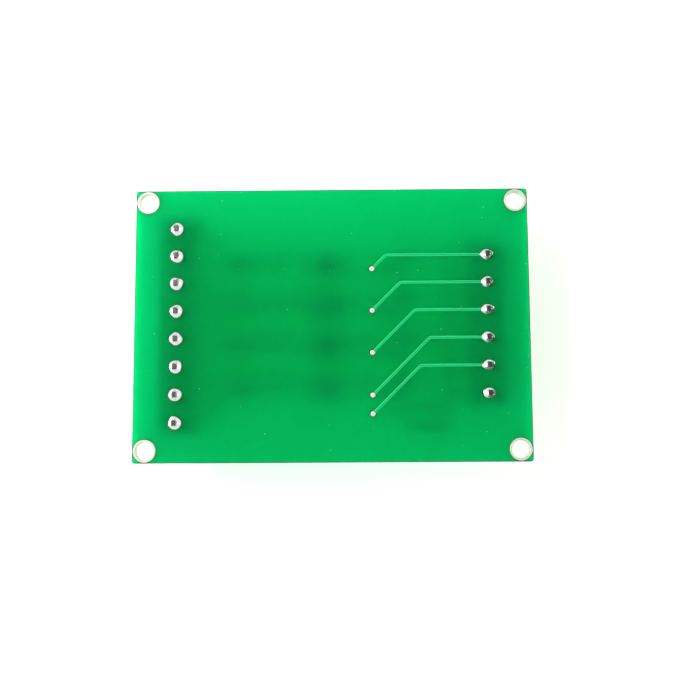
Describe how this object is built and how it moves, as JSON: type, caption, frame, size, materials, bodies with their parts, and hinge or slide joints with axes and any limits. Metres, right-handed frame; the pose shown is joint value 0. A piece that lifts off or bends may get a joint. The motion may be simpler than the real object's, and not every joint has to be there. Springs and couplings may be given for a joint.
{
  "type": "level shifter module",
  "caption": "Flat rectangular circuit board with plated corner holes, a row of screw terminals along each short side and optocouplers between them, lying face down.",
  "frame": {"origin": "on the surface that the board lies on, under the centre of its bounding box", "axes": "+X towards the output terminals, +Y towards the first channel, +Z out of the solder side"},
  "size_m": [0.072, 0.05, 0.0131],
  "materials": {
    "green_board": "green solder mask over glass-epoxy laminate, gloss",
    "tinned_copper": "bright tin over copper",
    "coated_copper": "copper under green solder mask, gloss",
    "terminal_plastic": "moulded green nylon, satin",
    "tinned_brass": "tinned strip",
    "solder": "bright solder",
    "plated_steel": "zinc-plated steel",
    "nickel_brass": "nickel-plated brass",
    "black_epoxy": "moulded epoxy, matt",
    "white_laminate": "matt",
    "clear_epoxy": "clear, gloss",
    "glazed_resistor": "black glaze",
    "capacitor_ceramic": "matt ceramic"
  },
  "bodies": {
    "board": {"circuit_board": "green_board", "mounting_hole_platings": "tinned_copper", "output_traces": "coated_copper", "vias": "tinned_copper", "component_side_traces": "coated_copper", "component_side_pads": "tinned_copper", "input_terminal_housing_1": "terminal_plastic", "input_terminal_housing_2": "terminal_plastic", "input_terminal_housing_3": "terminal_plastic", "input_terminal_housing_4": "terminal_plastic", "output_terminal_housing_1": "terminal_plastic", "output_terminal_housing_2": "terminal_plastic", "output_terminal_housing_3": "terminal_plastic", "input_terminal_contacts": "tinned_brass", "output_terminal_contacts": "tinned_brass", "input_solder_joints": "solder", "output_solder_joints": "solder", "optocoupler_1": "black_epoxy", "optocoupler_2": "black_epoxy", "optocoupler_3": "black_epoxy", "optocoupler_4": "black_epoxy", "optocoupler_leads": "tinned_copper", "indicator_led_bases": "white_laminate", "indicator_led_lenses": "clear_epoxy", "input_resistors": "glazed_resistor", "output_resistors": "glazed_resistor", "supply_capacitor": "capacitor_ceramic", "chip_end_caps": "tinned_copper", "surface_mount_solder": "solder"},
    "input_screw_1": {"input_screw_1": "plated_steel"},
    "input_clamp_1": {"input_clamp_1": "nickel_brass"},
    "input_screw_2": {"input_screw_2": "plated_steel"},
    "input_clamp_2": {"input_clamp_2": "nickel_brass"},
    "input_screw_3": {"input_screw_3": "plated_steel"},
    "input_clamp_3": {"input_clamp_3": "nickel_brass"},
    "input_screw_4": {"input_screw_4": "plated_steel"},
    "input_clamp_4": {"input_clamp_4": "nickel_brass"},
    "input_screw_5": {"input_screw_5": "plated_steel"},
    "input_clamp_5": {"input_clamp_5": "nickel_brass"},
    "input_screw_6": {"input_screw_6": "plated_steel"},
    "input_clamp_6": {"input_clamp_6": "nickel_brass"},
    "input_screw_7": {"input_screw_7": "plated_steel"},
    "input_clamp_7": {"input_clamp_7": "nickel_brass"},
    "input_screw_8": {"input_screw_8": "plated_steel"},
    "input_clamp_8": {"input_clamp_8": "nickel_brass"},
    "output_screw_1": {"output_screw_1": "plated_steel"},
    "output_clamp_1": {"output_clamp_1": "nickel_brass"},
    "output_screw_2": {"output_screw_2": "plated_steel"},
    "output_clamp_2": {"output_clamp_2": "nickel_brass"},
    "output_screw_3": {"output_screw_3": "plated_steel"},
    "output_clamp_3": {"output_clamp_3": "nickel_brass"},
    "output_screw_4": {"output_screw_4": "plated_steel"},
    "output_clamp_4": {"output_clamp_4": "nickel_brass"},
    "output_screw_5": {"output_screw_5": "plated_steel"},
    "output_clamp_5": {"output_clamp_5": "nickel_brass"},
    "output_screw_6": {"output_screw_6": "plated_steel"},
    "output_clamp_6": {"output_clamp_6": "nickel_brass"}
  },
  "joints": [
    {"name": "input_screw_1_turn", "type": "hinge", "parent": "board", "child": "input_screw_1", "pos_m": [-0.0287, 0.01778, 0.003], "axis": [0, 0, 1], "range_deg": [0, 1404.1]},
    {"name": "input_clamp_1_rise", "type": "slide", "parent": "board", "child": "input_clamp_1", "axis": [0, 0, -1], "range_m": [0, 0.00195]},
    {"name": "input_screw_2_turn", "type": "hinge", "parent": "board", "child": "input_screw_2", "pos_m": [-0.0287, 0.0127, 0.003], "axis": [0, 0, 1], "range_deg": [0, 1404.1]},
    {"name": "input_clamp_2_rise", "type": "slide", "parent": "board", "child": "input_clamp_2", "axis": [0, 0, -1], "range_m": [0, 0.00195]},
    {"name": "input_screw_3_turn", "type": "hinge", "parent": "board", "child": "input_screw_3", "pos_m": [-0.0287, 0.00762, 0.003], "axis": [0, 0, 1], "range_deg": [0, 1404.1]},
    {"name": "input_clamp_3_rise", "type": "slide", "parent": "board", "child": "input_clamp_3", "axis": [0, 0, -1], "range_m": [0, 0.00195]},
    {"name": "input_screw_4_turn", "type": "hinge", "parent": "board", "child": "input_screw_4", "pos_m": [-0.0287, 0.00254, 0.003], "axis": [0, 0, 1], "range_deg": [0, 1404.1]},
    {"name": "input_clamp_4_rise", "type": "slide", "parent": "board", "child": "input_clamp_4", "axis": [0, 0, -1], "range_m": [0, 0.00195]},
    {"name": "input_screw_5_turn", "type": "hinge", "parent": "board", "child": "input_screw_5", "pos_m": [-0.0287, -0.00254, 0.003], "axis": [0, 0, 1], "range_deg": [0, 1404.1]},
    {"name": "input_clamp_5_rise", "type": "slide", "parent": "board", "child": "input_clamp_5", "axis": [0, 0, -1], "range_m": [0, 0.00195]},
    {"name": "input_screw_6_turn", "type": "hinge", "parent": "board", "child": "input_screw_6", "pos_m": [-0.0287, -0.00762, 0.003], "axis": [0, 0, 1], "range_deg": [0, 1404.1]},
    {"name": "input_clamp_6_rise", "type": "slide", "parent": "board", "child": "input_clamp_6", "axis": [0, 0, -1], "range_m": [0, 0.00195]},
    {"name": "input_screw_7_turn", "type": "hinge", "parent": "board", "child": "input_screw_7", "pos_m": [-0.0287, -0.0127, 0.003], "axis": [0, 0, 1], "range_deg": [0, 1404.1]},
    {"name": "input_clamp_7_rise", "type": "slide", "parent": "board", "child": "input_clamp_7", "axis": [0, 0, -1], "range_m": [0, 0.00195]},
    {"name": "input_screw_8_turn", "type": "hinge", "parent": "board", "child": "input_screw_8", "pos_m": [-0.0287, -0.01778, 0.003], "axis": [0, 0, 1], "range_deg": [0, 1404.1]},
    {"name": "input_clamp_8_rise", "type": "slide", "parent": "board", "child": "input_clamp_8", "axis": [0, 0, -1], "range_m": [0, 0.00195]},
    {"name": "output_screw_1_turn", "type": "hinge", "parent": "board", "child": "output_screw_1", "pos_m": [0.0287, 0.0127, 0.003], "axis": [0, 0, 1], "range_deg": [0, 1404.1]},
    {"name": "output_clamp_1_rise", "type": "slide", "parent": "board", "child": "output_clamp_1", "axis": [0, 0, -1], "range_m": [0, 0.00195]},
    {"name": "output_screw_2_turn", "type": "hinge", "parent": "board", "child": "output_screw_2", "pos_m": [0.0287, 0.00762, 0.003], "axis": [0, 0, 1], "range_deg": [0, 1404.1]},
    {"name": "output_clamp_2_rise", "type": "slide", "parent": "board", "child": "output_clamp_2", "axis": [0, 0, -1], "range_m": [0, 0.00195]},
    {"name": "output_screw_3_turn", "type": "hinge", "parent": "board", "child": "output_screw_3", "pos_m": [0.0287, 0.00254, 0.003], "axis": [0, 0, 1], "range_deg": [0, 1404.1]},
    {"name": "output_clamp_3_rise", "type": "slide", "parent": "board", "child": "output_clamp_3", "axis": [0, 0, -1], "range_m": [0, 0.00195]},
    {"name": "output_screw_4_turn", "type": "hinge", "parent": "board", "child": "output_screw_4", "pos_m": [0.0287, -0.00254, 0.003], "axis": [0, 0, 1], "range_deg": [0, 1404.1]},
    {"name": "output_clamp_4_rise", "type": "slide", "parent": "board", "child": "output_clamp_4", "axis": [0, 0, -1], "range_m": [0, 0.00195]},
    {"name": "output_screw_5_turn", "type": "hinge", "parent": "board", "child": "output_screw_5", "pos_m": [0.0287, -0.00762, 0.003], "axis": [0, 0, 1], "range_deg": [0, 1404.1]},
    {"name": "output_clamp_5_rise", "type": "slide", "parent": "board", "child": "output_clamp_5", "axis": [0, 0, -1], "range_m": [0, 0.00195]},
    {"name": "output_screw_6_turn", "type": "hinge", "parent": "board", "child": "output_screw_6", "pos_m": [0.0287, -0.0127, 0.003], "axis": [0, 0, 1], "range_deg": [0, 1404.1]},
    {"name": "output_clamp_6_rise", "type": "slide", "parent": "board", "child": "output_clamp_6", "axis": [0, 0, -1], "range_m": [0, 0.00195]}
  ],
  "couplings": [
    {"joint": "input_screw_1_turn", "follows": "input_clamp_1_rise", "rad_per_m": 12566},
    {"joint": "input_screw_2_turn", "follows": "input_clamp_2_rise", "rad_per_m": 12566},
    {"joint": "input_screw_3_turn", "follows": "input_clamp_3_rise", "rad_per_m": 12566},
    {"joint": "input_screw_4_turn", "follows": "input_clamp_4_rise", "rad_per_m": 12566},
    {"joint": "input_screw_5_turn", "follows": "input_clamp_5_rise", "rad_per_m": 12566},
    {"joint": "input_screw_6_turn", "follows": "input_clamp_6_rise", "rad_per_m": 12566},
    {"joint": "input_screw_7_turn", "follows": "input_clamp_7_rise", "rad_per_m": 12566},
    {"joint": "input_screw_8_turn", "follows": "input_clamp_8_rise", "rad_per_m": 12566},
    {"joint": "output_screw_1_turn", "follows": "output_clamp_1_rise", "rad_per_m": 12566},
    {"joint": "output_screw_2_turn", "follows": "output_clamp_2_rise", "rad_per_m": 12566},
    {"joint": "output_screw_3_turn", "follows": "output_clamp_3_rise", "rad_per_m": 12566},
    {"joint": "output_screw_4_turn", "follows": "output_clamp_4_rise", "rad_per_m": 12566},
    {"joint": "output_screw_5_turn", "follows": "output_clamp_5_rise", "rad_per_m": 12566},
    {"joint": "output_screw_6_turn", "follows": "output_clamp_6_rise", "rad_per_m": 12566}
  ]
}
